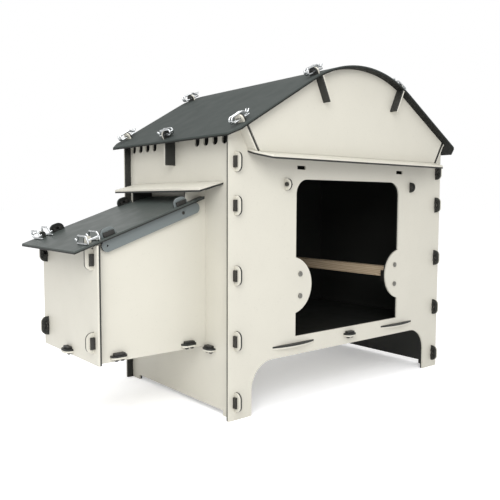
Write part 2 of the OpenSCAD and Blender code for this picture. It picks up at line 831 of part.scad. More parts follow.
// Skirt under a lid edge, with tabs up through the lid and round ends.
module lid_skirt() {
  len = (skirt_x1 - skirt_x0) / cos(lid_slope);
  color(slate) on_lid(skirt_x0) difference() {
    xz_plate(skirt_y0, skirt_t) difference() {
      union() {
        translate([skirt_r, -roof_t - seat - skirt_h]) square([len - 2 * skirt_r, skirt_h]);
        for (x = [skirt_r, len - skirt_r]) translate([x, -roof_t - seat - skirt_r])
          circle(skirt_r, $fn = 64);
        for (x = skirt_tab_xs) translate([(x - skirt_x0) / cos(lid_slope), 0])
          tab(skirt_tab_w, skirt_tab_h, roof_t + 6);
      }
      for (x = skirt_tab_xs) translate([(x - skirt_x0) / cos(lid_slope), 0]) clip_slot();
      translate([skirt_r, -roof_t - seat - skirt_r]) circle(2.2, $fn = 24);
      translate([(hinge_top_x - skirt_x0) / cos(lid_slope), -hinge_off])
        circle(hinge_r + pin_play, $fn = 48);
    }
  }
}

module front_lid_skirt() { lid_skirt(); }
module rear_lid_skirt() { rear_side() lid_skirt(); }

// Hinge pins: each is fixed in a skirt and turns in a nest side.
module hinge_pin() {
  translate([hinge_x, skirt_y0, hinge_z]) rotate([-90, 0, 0]) {
    cylinder(r = hinge_r, h = nest_y0 + t - skirt_y0, $fn = 48);
    translate([0, 0, skirt_t + seat])
      cylinder(r = 2 * hinge_r, h = nest_y0 - skirt_y0 - skirt_t - 2 * seat, $fn = 48);
  }
}

module lid_hinge_pins() {
  color(ink) {
    hinge_pin();
    rear_side() hinge_pin();
  }
}

// ---- Perches ----

module perch(x) {
  color(timber) translate([x - perch_w / 2, perch_y0, perch_top - perch_h])
    cube([perch_w, house_d - 2 * perch_y0, perch_h]);
}

module left_perch() { perch(screw_left_x); }
module right_perch() { perch(screw_right_x); }

// Saddle behind an ear: a back plate and a cradle that is open at the top.
module perch_bracket(x) {
  plate_h = 78;
  cup_w = perch_w + 14;
  base_z = perch_top - perch_h - play;
  depth = 22;
  color(ink) difference() {
    union() {
      translate([x - cup_w / 2, t + play / 2, ear_z - plate_h / 2]) cube([cup_w, 4 - play / 2, plate_h]);
      translate([x - cup_w / 2, t + 1, base_z - 12]) cube([cup_w, depth, 30]);
    }
    translate([x - perch_w / 2 - play, t + 4, base_z]) cube([perch_w + 2 * play, depth, 60]);
    for (s = [-1, 1]) translate([x, t + 2, ear_z + s * screw_gap / 2]) rotate([90, 0, 0])
      cylinder(r = screw_r + 0.1, h = 16, center = true, $fn = 24);
  }
}

module front_left_perch_bracket() { perch_bracket(screw_left_x); }
module front_right_perch_bracket() { perch_bracket(screw_right_x); }
module rear_left_perch_bracket() { rear_side() perch_bracket(screw_left_x); }
module rear_right_perch_bracket() { rear_side() perch_bracket(screw_right_x); }

// Dome-headed screws through an end panel into the perch brackets.
module bracket_screws() {
  head_r = 6.5;
  head_h = 2.6;
  for (x = [screw_left_x, screw_right_x], s = [-1, 1])
    translate([x, -seat, ear_z + s * screw_gap / 2]) rotate([90, 0, 0]) {
      translate([0, 0, -t - 3.5]) cylinder(r = screw_r, h = t + 4, $fn = 24);
      difference() {
        cylinder(r = head_r, h = head_h, $fn = 32);
        translate([0, 0, head_h - 1]) cylinder(r = 2.4, h = 2, $fn = 24);
      }
    }
}

module front_bracket_screws() { color(steel) bracket_screws(); }
module rear_bracket_screws() { color(steel) rear_side() bracket_screws(); }

// ---- Door catches ----

// Catch plate: a tab in front of the panel and a wider foot behind it.
module door_catch(x) {
  foot_h = catch_h + 24;
  color(cream) difference() {
    yz_plate(x - t / 2, t) {
      translate([0, catch_z]) rotate(90) tab(catch_h, catch_reach, t + 4);
      translate([t + seat, catch_z - foot_h / 2]) square([22, foot_h]);
    }
    translate([x, catch_hole_y, catch_z]) rotate([0, 90, 0])
      cylinder(r = pin_r + pin_play, h = t + 2, center = true, $fn = 32);
  }
}

module left_door_catch() { door_catch(catch_left_x); }
module right_door_catch() { door_catch(catch_right_x); }

// Catch pin: it draws out towards -X by its round head.
module catch_pin(x) {
  color(ink) translate([x, catch_hole_y, catch_z]) rotate([0, 90, 0]) {
    translate([0, 0, -t / 2 - 4]) cylinder(r = pin_r, h = t + 10, $fn = 32);
    translate([0, 0, -t / 2 - 5.5]) cylinder(r = 5, h = 5, $fn = 32);
  }
}

module left_catch_pin() { catch_pin(catch_left_x); }
module right_catch_pin() { catch_pin(catch_right_x); }

// ---- Clip groups ----

module corner_clips() {
  for (z = tab_zs) {
    translate([wall_x, 0, z]) push_clip();
    right_side() translate([wall_x, 0, z]) push_clip();
  }
}

module front_corner_clips() { color(ink) corner_clips(); }
module rear_corner_clips() { color(ink) rear_side() corner_clips(); }

module floor_clips() {
  top = floor_z + t / 2;
  color(ink) {
    translate([house_w / 2, 0, top]) flat_clip();
    rear_side() translate([house_w / 2, 0, top]) flat_clip();
    for (y = floor_side_ys) {
      translate([wall_x, y, top]) rotate([0, 0, -90]) flat_clip();
      translate([house_w - wall_x, y, top]) rotate([0, 0, 90]) flat_clip();
    }
  }
}

// Clips of the front half of the nest box's own joints.
module nest_half_clips() {
  for (z = nest_tab_zs) translate([end_x, nest_y0, z]) mirror([0, 1, 0]) rotate([0, 0, -90]) push_clip();
  for (x = side_floor_tab_xs) translate([x, nest_y0, nest_floor_z + t / 2]) flat_clip();
}

module nest_clips() {
  color(ink) {
    nest_half_clips();
    rear_side() nest_half_clips();
    translate([end_x, nest_mid, nest_floor_z + t / 2]) rotate([0, 0, -90]) flat_clip();
  }
}

module nest_wall_half() {
  for (z = nest_wall_tab_zs) translate([wall_in_x, nest_y0, z]) mirror([0, 1, 0])
    rotate([0, 0, 90]) mirror([1, 0, 0]) push_clip();
}

module nest_wall_clips() {
  color(ink) {
    nest_wall_half();
    rear_side() nest_wall_half();
  }
}

module skirt_half_clips() {
  for (x = skirt_tab_xs) on_lid(x) translate([0, skirt_y0, 0]) rotate([0, 0, 90]) rotate([-90, 0, 0])
    push_clip(skirt_t, 0);
}

module lid_skirt_clips() {
  color(ink) {
    skirt_half_clips();
    rear_side() skirt_half_clips();
  }
}

// Wire clips of the left half of the roof, closed ends towards the eave.
module roof_half_clips() {
  for (y = [cheek_tab_y, house_d - cheek_tab_y])
    on_flank(cheek_x) translate([t / 2, y, roof_t]) wire_clip();
  for (y = [-gable_out + t / 2, house_d + gable_out - t / 2])
    on_crown(purlin_a) translate([0, y, roof_t]) wire_clip();
  on_flank(bracket_tab_x) translate([0, eave_bracket_y, roof_t]) rotate([0, 0, 90]) wire_clip();
}

module roof_clips() {
  color(steel) {
    roof_half_clips();
    right_side() roof_half_clips();
  }
}

module lid_clip() {
  lean = 3;
  on_lid(ear_x0 + lock_w / 2) translate([lean, nest_y0 + t / 2, 0]) rotate([0, 0, 90])
    saddle_clip();
}

module lid_clips() {
  color(steel) {
    lid_clip();
    rear_side() lid_clip();
  }
}

placed() front_panel();
placed() rear_panel();
placed() left_wall();
placed() right_wall();
placed() floor_panel();
placed() front_gable_board();
placed() rear_gable_board();
placed() front_sill();
placed() rear_sill();
placed() front_left_cheek();
placed() front_right_cheek();
placed() rear_left_cheek();
placed() rear_right_cheek();
placed() left_purlin();
placed() right_purlin();
placed() left_eave_bracket();
placed() right_eave_bracket();
placed() roof_sheet();
placed() nest_floor();
placed() nest_front_side();
placed() nest_rear_side();
placed() nest_end_panel();
placed() nest_ledge();
placed() nest_lid();
placed() front_lid_skirt();
placed() rear_lid_skirt();
placed() lid_hinge_pins();
placed() left_perch();
placed() right_perch();
placed() front_left_perch_bracket();
placed() front_right_perch_bracket();
placed() rear_left_perch_bracket();
placed() rear_right_perch_bracket();
placed() front_bracket_screws();
placed() rear_bracket_screws();
placed() left_door_catch();
placed() right_door_catch();
placed() left_catch_pin();
placed() right_catch_pin();
placed() front_corner_clips();
placed() rear_corner_clips();
placed() floor_clips();
placed() nest_clips();
placed() nest_wall_clips();
placed() lid_skirt_clips();
placed() roof_clips();
placed() lid_clips();
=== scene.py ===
"""Board, wood and steel finishes, wire clips, studio and camera for a flat-pack hen coop."""

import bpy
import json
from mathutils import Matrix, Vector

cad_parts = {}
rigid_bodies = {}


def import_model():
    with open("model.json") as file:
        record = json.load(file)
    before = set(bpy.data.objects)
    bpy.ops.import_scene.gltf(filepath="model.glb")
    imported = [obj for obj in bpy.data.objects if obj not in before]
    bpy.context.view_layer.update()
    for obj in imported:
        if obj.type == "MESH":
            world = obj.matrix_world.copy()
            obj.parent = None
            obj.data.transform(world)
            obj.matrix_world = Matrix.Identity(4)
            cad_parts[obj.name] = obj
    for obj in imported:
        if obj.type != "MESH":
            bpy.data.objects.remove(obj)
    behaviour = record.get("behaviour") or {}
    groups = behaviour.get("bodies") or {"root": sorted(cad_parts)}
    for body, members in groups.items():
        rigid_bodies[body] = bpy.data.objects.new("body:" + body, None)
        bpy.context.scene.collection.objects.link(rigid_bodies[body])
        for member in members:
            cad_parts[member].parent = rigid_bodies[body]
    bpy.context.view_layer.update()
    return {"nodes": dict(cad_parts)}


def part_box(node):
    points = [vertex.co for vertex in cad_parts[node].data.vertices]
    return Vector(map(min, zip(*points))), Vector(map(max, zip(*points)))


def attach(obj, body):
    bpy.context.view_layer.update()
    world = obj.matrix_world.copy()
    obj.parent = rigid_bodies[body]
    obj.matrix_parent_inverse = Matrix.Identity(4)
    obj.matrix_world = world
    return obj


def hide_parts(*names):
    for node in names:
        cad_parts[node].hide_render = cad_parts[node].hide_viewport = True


bl_info = {
    "name": "Hen coop finishes",
    "version": (1, 0, 0),
    "blender": (4, 5, 0),
    "location": "3D View > Sidebar > Hen coop",
    "description": "Gives the coop its board, wire, wood and moulded finishes and its studio",
    "category": "Object",
}

import bpy

for leftover in list(bpy.data.objects):
    bpy.data.objects.remove(leftover)

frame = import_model()

import json
import math

import bmesh
from bpy.props import FloatProperty, FloatVectorProperty, PointerProperty
from mathutils import Matrix, Quaternion, Vector

MM = 0.001
LEFT, RIGHT = Vector((-1, 0, 0)), Vector((1, 0, 0))
FRONT, REAR = Vector((0, -1, 0)), Vector((0, 1, 0))
DOWN, UP = Vector((0, 0, -1)), Vector((0, 0, 1))

# What the two studio lights face, and the radius of the floor, in metres.
KEY_TARGET = (-0.2, 0, 0.35)
TOP_TARGET = (-0.2, 0.0, 0.0)
FLOOR_RADIUS = 30

# Which way the cream or slate layer of each flat board faces.
CREAM_BOARDS = {
    "front_panel": FRONT,
    "rear_panel": REAR,
    "left_wall": LEFT,
    "right_wall": RIGHT,
    "front_gable_board": FRONT,
    "rear_gable_board": REAR,
    "front_sill": UP,
    "rear_sill": UP,
    "front_left_cheek": LEFT,
    "front_right_cheek": RIGHT,
    "rear_left_cheek": LEFT,
    "rear_right_cheek": RIGHT,
    "nest_front_side": FRONT,
    "nest_rear_side": REAR,
    "nest_end_panel": LEFT,
    "nest_ledge": UP,
    "nest_floor": DOWN,
    "floor_panel": DOWN,
    "left_purlin": RIGHT,
    "right_purlin": RIGHT,
    "left_eave_bracket": REAR,
    "right_eave_bracket": REAR,
    "left_door_catch": LEFT,
    "right_door_catch": RIGHT,
}
SLATE_BOARDS = {"nest_lid": UP, "front_lid_skirt": FRONT, "rear_lid_skirt": REAR}
MOULDINGS = (
    "front_corner_clips",
    "rear_corner_clips",
    "floor_clips",
    "nest_clips",
    "nest_wall_clips",
    "lid_skirt_clips",
    "front_left_perch_bracket",
    "front_right_perch_bracket",
    "rear_left_perch_bracket",
    "rear_right_perch_bracket",
    "lid_hinge_pins",
    "left_catch_pin",
    "right_catch_pin",
)


# ---- Reading the frame ----


def main_face(node, towards):
    """The direction of a flat board's outer face, and the heights of both faces along it."""
    areas = {}
    polygons = frame["nodes"][node].data.polygons
    for polygon in polygons:
        key = tuple(round(x, 3) for x in polygon.normal)
        areas[key] = areas.get(key, 0) + polygon.area
    facing = max(areas, key=lambda key: areas[key] * Vector(key).dot(towards))
    normal = Vector(facing).normalized()
    mesh = frame["nodes"][node].data
    heights = [
        normal.dot(mesh.vertices[i].co)
        for polygon in polygons
        if abs(normal.dot(polygon.normal)) > 0.9999
        for i in polygon.vertices
    ]
    return normal, min(heights), max(heights)


def islands(node):
    """The separate solids of a CAD node, as lists of points."""
    mesh = bmesh.new()
    mesh.from_mesh(frame["nodes"][node].data)
    bmesh.ops.remove_doubles(mesh, verts=mesh.verts, dist=0.01 * MM)
    found, seen = [], set()
    for start in mesh.verts:
        if start in seen:
            continue
        group, edge_of_group = [], [start]
        seen.add(start)
        while edge_of_group:
            vertex = edge_of_group.pop()
            group.append(vertex.co.copy())
            for edge in vertex.link_edges:
                other = edge.other_vert(vertex)
                if other not in seen:
                    seen.add(other)
                    edge_of_group.append(other)
        found.append(group)
    mesh.free()
    return found


def middle_of(points):
    """The middle of the box round some points."""
    low = Vector([min(p[i] for p in points) for i in range(3)])
    high = Vector([max(p[i] for p in points) for i in range(3)])
    return (low + high) / 2


# ---- Materials ----


def linear(code):
    """An sRGB hex colour as a linear RGBA value."""
    parts = [int(code[i:i + 2], 16) / 255 for i in (1, 3, 5)]
    parts = [c / 12.92 if c <= 0.04045 else ((c + 0.055) / 1.055) ** 2.4 for c in parts]
    return (*parts, 1.0)


def rgba(colour):
    """A three-part colour setting as the four parts a socket takes."""
    return (*colour[:3], 1.0)


def add(tree, kind, inputs=None, **settings):
    """Adds a shader node, sets its properties, and fills or links its inputs."""
    node = tree.nodes.new(kind)
    for name, value in settings.items():
        setattr(node, name, value)
    for key, value in (inputs or {}).items():
        if isinstance(value, bpy.types.NodeSocket):
            tree.links.new(value, node.inputs[key])
        else:
            node.inputs[key].default_value = value
    return node


def new_material(name, **shader_inputs):
    """A material with one surface shader; returns it with its tree and shader."""
    material = bpy.data.materials.new(name)
    material.use_nodes = True
    tree = material.node_tree
    tree.nodes.clear()
    shader = add(tree, "ShaderNodeBsdfPrincipled", shader_inputs)
    add(tree, "ShaderNodeOutputMaterial", {"Surface": shader.outputs[0]})
    return material, tree, shader


def noise(tree, where, size, detail=2.0, roughness=0.5):
    """Noise whose largest lumps measure size, in metres; its value."""
    made = add(tree, "ShaderNodeTexNoise", {
        "Vector": where, "Scale": 1 / size, "Detail": detail, "Roughness": roughness})
    return made.outputs["Fac"]


def remap(tree, value, low, high, to_low, to_high):
    """A value stretched from one range to another, and held inside it."""
    made = add(tree, "ShaderNodeMapRange", {
        "Value": value, "From Min": low, "From Max": high, "To Min": to_low, "To Max": to_high})
    return made.outputs["Result"]


def blend_colours(tree, share, first, second):
    """Two colours mixed by a share."""
    made = add(tree, "ShaderNodeMix", {0: share, 6: first, 7: second}, data_type="RGBA")
    return made.outputs[2]


def arithmetic(tree, operation, first, second=0.0):
    """One sum on two numbers."""
    made = add(tree, "ShaderNodeMath", {0: first, 1: second}, operation=operation)
    return made.outputs[0]


def relief(tree, height, depth, below=None):
    """A bump of that depth in metres, on top of another bump."""
    inputs = {"Height": height, "Distance": depth, "Strength": 1.0}
    if below is not None:
        inputs["Normal"] = below
    return add(tree, "ShaderNodeBump", inputs).outputs["Normal"]


def flat_depth(normal, middle):
    """Makes a builder for the height of a point over the middle layer of a flat board."""
    def build(tree, where):
        along = add(tree, "ShaderNodeVectorMath", {0: where, 1: normal}, operation="DOT_PRODUCT")
        return arithmetic(tree, "SUBTRACT", along.outputs["Value"], middle)
    return build


def arched_depth(ridge, slope, centre_height, middle_radius):
    """The same for the roof, whose straight flanks run tangent into a round crown."""
    def build(tree, where):
        parts = add(tree, "ShaderNodeSeparateXYZ", {0: where})
        across = arithmetic(tree, "ABSOLUTE", arithmetic(tree, "SUBTRACT", parts.outputs[0], ridge))
        height = arithmetic(tree, "SUBTRACT", parts.outputs[2], centre_height)
        arm = add(tree, "ShaderNodeCombineXYZ", {0: across, 2: height}).outputs[0]
        crown = add(tree, "ShaderNodeVectorMath", {0: arm}, operation="LENGTH").outputs["Value"]
        square = Vector((math.sin(slope), 0, math.cos(slope)))
        downhill = Vector((math.cos(slope), 0, -math.sin(slope)))
        flank = add(tree, "ShaderNodeVectorMath", {0: arm, 1: square}, operation="DOT_PRODUCT")
        past = add(tree, "ShaderNodeVectorMath", {0: arm, 1: downhill}, operation="DOT_PRODUCT")
        on_flank = arithmetic(tree, "GREATER_THAN", past.outputs["Value"], 0.0)
        chosen = add(tree, "ShaderNodeMix", {0: on_flank, 2: crown, 3: flank.outputs["Value"]})
        return arithmetic(tree, "SUBTRACT", chosen.outputs[0], middle_radius)
    return build


def board(name, outer, inner, thickness, depth, gloss, shine):
    """Co-extruded HDPE board: a coloured skin over black, satin faces with a faint pressed
    grain and slow waves, and matt cut edges with fine cutter marks that show both layers."""
    material, tree, shader = new_material(name, **{"IOR": 1.54, "Specular IOR Level": shine})
    where = add(tree, "ShaderNodeTexCoord").outputs["Object"]
    through = depth(tree, where)

    # The colour drifts a little over a hand's width, and flecks of regrind show close up.
    drift = remap(tree, noise(tree, where, 160 * MM, 3.0), 0.3, 0.7, 0.0, 1.0)
    flecks = remap(tree, noise(tree, where, 5 * MM, 1.0), 0.66, 0.74, 0.0, 0.10)
    skin = blend_colours(tree, drift, outer, [c * 0.955 for c in outer[:3]] + [1.0])
    skin = blend_colours(tree, flecks, skin, [c * 0.55 for c in outer[:3]] + [1.0])
    core = blend_colours(tree, drift, inner, [c * 1.35 for c in inner[:3]] + [1.0])
    layer = remap(tree, through, -0.1 * MM, 0.1 * MM, 0.0, 1.0)
    colour = blend_colours(tree, layer, core, skin)

    # A cut edge is any surface that lies inside the thickness.
    inside = arithmetic(tree, "ABSOLUTE", through)
    cut = arithmetic(tree, "LESS_THAN", inside, thickness / 2 - 0.8 * MM)
    rough = remap(tree, noise(tree, where, 40 * MM, 2.0), 0.3, 0.7, gloss - 0.04, gloss + 0.05)
    rough = add(tree, "ShaderNodeMix", {0: cut, 2: rough, 3: 0.62}).outputs[0]

    # The pressed grain is really about 0.4 mm; it is drawn at 1.2 mm so that it shows.
    grain = relief(tree, noise(tree, where, 1.2 * MM, 2.0), 0.02 * MM)
    waves = relief(tree, noise(tree, where, 140 * MM, 1.0), 0.9 * MM, grain)
    # Diagonal bands repeat every 2 pi / (10 x scale), which gives cutter marks 3 mm apart.
    spacing = 3 * MM
    marks = add(tree, "ShaderNodeTexWave", {
        "Vector": where, "Scale": 2 * math.pi / (10 * spacing), "Distortion": 1.5, "Detail": 1.0},
        wave_type="BANDS", bands_direction="DIAGONAL")
    marked = arithmetic(tree, "MULTIPLY", marks.outputs["Fac"], cut)
    cutter = relief(tree, marked, 0.05 * MM, waves)
    tree.links.new(colour, shader.inputs["Base Color"])
    tree.links.new(rough, shader.inputs["Roughness"])
    tree.links.new(cutter, shader.inputs["Normal"])
    return material


def moulded_nylon(name, colour):
    """Injection-moulded black nylon: a fine spark texture from the mould, and a soft gloss."""
    material, tree, shader = new_material(name, IOR=1.53)
    where = add(tree, "ShaderNodeTexCoord").outputs["Object"]
    mottle = remap(tree, noise(tree, where, 14 * MM, 3.0), 0.35, 0.7, 0.0, 1.0)
    tint = blend_colours(tree, mottle, colour, [c * 1.7 for c in colour[:3]] + [1.0])
    rough = remap(tree, noise(tree, where, 6 * MM, 2.0), 0.3, 0.7, 0.36, 0.5)
    # Spark texture is about 0.1 mm in the mould; it is drawn at 0.7 mm so that it shows.
    texture = relief(tree, noise(tree, where, 0.7 * MM, 2.0), 0.03 * MM)
    tree.links.new(tint, shader.inputs["Base Color"])
    tree.links.new(rough, shader.inputs["Roughness"])
    tree.links.new(texture, shader.inputs["Normal"])
    return material


def plated_steel(name, colour, gloss):
    """Drawn and zinc-plated steel: bright, with faint draw lines and a few dull patches."""
    material, tree, shader = new_material(name, Metallic=1.0)
    where = add(tree, "ShaderNodeTexCoord").outputs["Object"]
    patches = remap(tree, noise(tree, where, 9 * MM, 3.0), 0.4, 0.7, 0.0, 1.0)
    tint = blend_colours(tree, patches, colour, [c * 0.8 for c in colour[:3]] + [1.0])
    rough = remap(tree, patches, 0.0, 1.0, gloss, gloss + 0.12)
    lines = relief(tree, noise(tree, where, 0.8 * MM, 1.0), 0.015 * MM)
    tree.links.new(tint, shader.inputs["Base Color"])
    tree.links.new(rough, shader.inputs["Roughness"])
    tree.links.new(lines, shader.inputs["Normal"])
    return material


def planed_spruce(name, pale, late, knot, ring):
    """Planed, unfinished spruce: growth rings along the length, dark knots, a raised grain."""
    material, tree, shader = new_material(name, IOR=1.5)
    where = add(tree, "ShaderNodeTexCoord").outputs["Object"]
    # Rings run almost straight along the length, so it is squeezed before the noise. They
    # lie in planes that lean over, and bend by up to 10 mm, and by 5 mm round a knot.
    squeezed = add(tree, "ShaderNodeMapping", {"Vector": where, "Scale": (1.0, 0.06, 1.0)})
    long_way = squeezed.outputs[0]
    bend = noise(tree, long_way, 22 * MM, 2.0)
    knot_space = add(tree, "ShaderNodeMapping", {"Vector": where, "Scale": (1.0, 0.55, 1.0)})
    cells = add(tree, "ShaderNodeTexVoronoi", {
        "Vector": knot_space.outputs[0], "Scale": 1 / (62 * MM), "Randomness": 1.0})
    near_knot = remap(tree, cells.outputs["Distance"], 0.06, 0.3, 1.0, 0.0)
    parts = add(tree, "ShaderNodeSeparateXYZ", {0: where})
    leaning = arithmetic(tree, "MULTIPLY", parts.outputs[2], 0.6)
    radius = arithmetic(tree, "ADD", parts.outputs[0], leaning)
    radius = arithmetic(tree, "ADD", radius, arithmetic(tree, "MULTIPLY", bend, 10 * MM))
    radius = arithmetic(tree, "ADD", radius, arithmetic(tree, "MULTIPLY", near_knot, 5 * MM))
    wave = arithmetic(tree, "SINE", arithmetic(tree, "MULTIPLY", radius, 2 * math.pi / ring))
    lines = remap(tree, wave, -0.2, 1.0, 0.0, 0.75)
    timber = blend_colours(tree, lines, pale, late)
    fibres = remap(tree, noise(tree, long_way, 1.1 * MM, 3.0), 0.35, 0.7, 0.0, 0.35)
    timber = blend_colours(tree, fibres, timber, late)
    dark = remap(tree, cells.outputs["Distance"], 0.07, 0.17, 0.85, 0.0)
    timber = blend_colours(tree, dark, timber, knot)
    raised = relief(tree, lines, 0.12 * MM)
    raised = relief(tree, noise(tree, long_way, 1.1 * MM, 3.0), 0.1 * MM, raised)
    tree.links.new(timber, shader.inputs["Base Color"])
    tree.links.new(remap(tree, fibres, 0.0, 0.35, 0.62, 0.78), shader.inputs["Roughness"])
    tree.links.new(raised, shader.inputs["Normal"])
    return material


def dress(node, material):
    """Gives a CAD node its finish."""
    for place in frame["nodes"][node].material_slots:
        place.material = material


def ease_edges(node, width, steps=2):
    """Rounds a CAD node's sharp edges by that width, as a router or a mould leaves them.
    Triangles that lie in one flat are joined first, so the flat shades evenly."""
    shown = frame["nodes"][node]
    joined = shown.modifiers.new("joined corners", "WELD")
    joined.merge_threshold = 0.01 * MM
    flats = shown.modifiers.new("whole flats", "DECIMATE")
    flats.decimate_type = "DISSOLVE"
    flats.angle_limit = math.radians(0.4)
    eased = shown.modifiers.new("eased edges", "BEVEL")
    eased.width = width
    eased.segments = steps
    eased.limit_method = "ANGLE"
    eased.angle_limit = math.radians(40)
    even = shown.modifiers.new("even faces", "WEIGHTED_NORMAL")
    even.weight = 80


# ---- Wire ----


def smooth_way(points, steps=5):
    """A rounded way through points: a Catmull-Rom curve with that many steps a stretch."""
    ends = [2 * points[0] - points[1], *points, 2 * points[-1] - points[-2]]
    way = []
    for a, b, c, d in zip(ends, ends[1:], ends[2:], ends[3:]):
        for i in range(steps):
            t = i / steps
            way.append(0.5 * (2 * b + (c - a) * t + (2 * a - 5 * b + 4 * c - d) * t ** 2
                              + (3 * b - 3 * c + d - a) * t ** 3))
    return way + [points[-1].copy()]


def sweep_wire(mesh, way, radius, sides=12):
    """Adds a round wire with domed ends along a way to a mesh."""
    directions = [(b - a).normalized() for a, b in zip(way, way[1:])]
    tangents = [directions[0]]
    tangents += [(a + b).normalized() for a, b in zip(directions, directions[1:])]
    tangents.append(directions[-1])
    side = tangents[0].orthogonal().normalized()
    dome = [(-0.92, 0.4), (-0.7, 0.72), (-0.38, 0.93)]
    stations = [(way[0] + tangents[0] * radius * z, tangents[0], radius * r) for z, r in dome]
    stations += [(p, t, radius) for p, t in zip(way, tangents)]
    stations += [(way[-1] - tangents[-1] * radius * z, tangents[-1], radius * r)
                 for z, r in reversed(dome)]
    rings = []
    for point, tangent, size in stations:
        side = (side - tangent * side.dot(tangent)).normalized()
        other = tangent.cross(side)
        rings.append([
            mesh.verts.new(point + size * (side * math.cos(a) + other * math.sin(a)))
            for a in (2 * math.pi * i / sides for i in range(sides))])
    for first, second in zip(rings, rings[1:]):
        for i in range(sides):
            j = (i + 1) % sides
            mesh.faces.new((first[i], first[j], second[j], second[i]))
    mesh.faces.new(reversed(rings[0]))
    mesh.faces.new(rings[-1])


def finish_piece(name, mesh, material, body, replaced):
    """Turns a bmesh into a named piece that rides on a body and stands for a CAD node."""
    bmesh.ops.recalc_face_normals(mesh, faces=mesh.faces)
    data = bpy.data.meshes.new(name)
    mesh.to_mesh(data)
    mesh.free()
    for polygon in data.polygons:
        polygon.use_smooth = True
    data.materials.append(material)
    piece = bpy.data.objects.new(name, data)
    bpy.context.scene.collection.objects.link(piece)
    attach(piece, body)
    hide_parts(replaced)
    return piece


def hairpin(side, low, look):
    """The way of one hairpin: low leg, closed end, and an upper leg that dips and flares.
    Distances along the open end are shares of its length, so the flare keeps its shape."""
    bend = (look.wire_rise - low) / 2
    back = look.wire_back
    arc = [(-back - bend * math.sin(a), low + bend * (1 - math.cos(a)))
           for a in (math.radians(30 * i) for i in range(7))]
    upper = [(look.wire_front * 0.35, look.wire_rise), (look.wire_front * 0.62, low + 7.5 * MM),
             (look.wire_front * 0.78, low + 5 * MM), (look.wire_front, low + 9.5 * MM)]
    line = [(look.wire_front * 0.86, low), (0.0, low), *arc, (0.0, look.wire_rise), *upper]
    return smooth_way([Vector((x, side, z)) for x, z in line])


def wire_clip(mesh, gap, low, look, place):
    """Adds a spring clip of two hairpins and the cross wire at their closed ends."""
    radius = look.wire_diameter / 2
    bend = (look.wire_rise - low) / 2
    closed = -look.wire_back - bend
    for side in (-gap, gap):
        way = hairpin(side, low, look)
        sweep_wire(mesh, [place @ p for p in way], radius)
    bow = [Vector((closed + 0.3 * MM, -gap, low + bend)),
           Vector((closed - 0.2 * MM, 0, low + bend)),
           Vector((closed + 0.3 * MM, gap, low + bend))]
    sweep_wire(mesh, [place @ p for p in smooth_way(bow)], radius)


def settled(turn, gap, low, look, points):
    """The placing of a clip whose turned shape fills the box round a CAD clip's points."""
    trial = [turn @ p for side in (-gap, gap) for p in hairpin(side, low, look)]
    return Matrix.Translation(middle_of(points) - middle_of(trial)) @ turn


def turned(along, up):
    """A rotation whose X is along and whose Z is up."""
    across = up.cross(along).normalized()
    return Matrix((along, across, across.cross(along) * -1)).transposed().to_4x4()


# ---- Settings ----


class CoopFinishes(bpy.types.PropertyGroup):
    """Colours and edges of the coop's boards, mouldings and timber."""

    cream: FloatVectorProperty(
        name="Cream skin", description="Outer layer of the wall board", subtype="COLOR",
        default=linear("#CAC7BB")[:3], min=0, max=1)
    slate: FloatVectorProperty(
        name="Slate skin", description="Outer layer of the lid board", subtype="COLOR",
        default=linear("#414744")[:3], min=0, max=1)
    roof_slate: FloatVectorProperty(
        name="Roof skin", description="Outer layer of the roof sheet", subtype="COLOR",
        default=linear("#3D4240")[:3], min=0, max=1)
    # The skirts' skin is the lid's slate painted lighter: painted light standing in for the light
    # that falls on the upright skirts.
    painted_lighter_skirt_slate: FloatVectorProperty(
        name="Skirt skin", description="Outer layer of the strips under the lid", subtype="COLOR",
        default=linear("#6C7373")[:3], min=0, max=1)
    core: FloatVectorProperty(
        name="Black layer", description="Inner layer of every board", subtype="COLOR",
        default=linear("#1F201E")[:3], min=0, max=1)
    nylon: FloatVectorProperty(
        name="Moulded clips", description="Colour of the push-in clips", subtype="COLOR",
        default=linear("#1C1B18")[:3], min=0, max=1)
    steel: FloatVectorProperty(
        name="Steel", description="Colour of the wire clips and screws", subtype="COLOR",
        default=linear("#D6D9DA")[:3], min=0, max=1)
    screws: FloatVectorProperty(
        name="Screws", description="Colour of the weathered screws", subtype="COLOR",
        default=linear("#8D8C86")[:3], min=0, max=1)
    spruce: FloatVectorProperty(
        name="Spruce", description="Pale wood between the growth rings", subtype="COLOR",
        default=linear("#C9B79C")[:3], min=0, max=1)
    late_wood: FloatVectorProperty(
        name="Late wood", description="Darker lines of the growth rings", subtype="COLOR",
        default=linear("#9C8467")[:3], min=0, max=1)
    knots: FloatVectorProperty(
        name="Knots", description="Colour of the knots", subtype="COLOR",
        default=linear("#5E4029")[:3], min=0, max=1)
    ring: FloatProperty(
        name="Growth ring", description="Spacing of the growth rings", unit="LENGTH",
        default=3.2 * MM, min=1 * MM, max=8 * MM)
    routed_edge: FloatProperty(
        name="Routed edge", description="Rounding of the boards' cut edges", unit="LENGTH",
        default=0.6 * MM, min=0.1 * MM, max=1.5 * MM)
    moulded_edge: FloatProperty(
        name="Moulded edge", description="Rounding of the mouldings' edges", unit="LENGTH",
        default=0.7 * MM, min=0.1 * MM, max=1.5 * MM)
    perch_edge: FloatProperty(
        name="Perch edge", description="Rounding of the perches' long edges", unit="LENGTH",
        default=2.5 * MM, min=0.5 * MM, max=6 * MM)


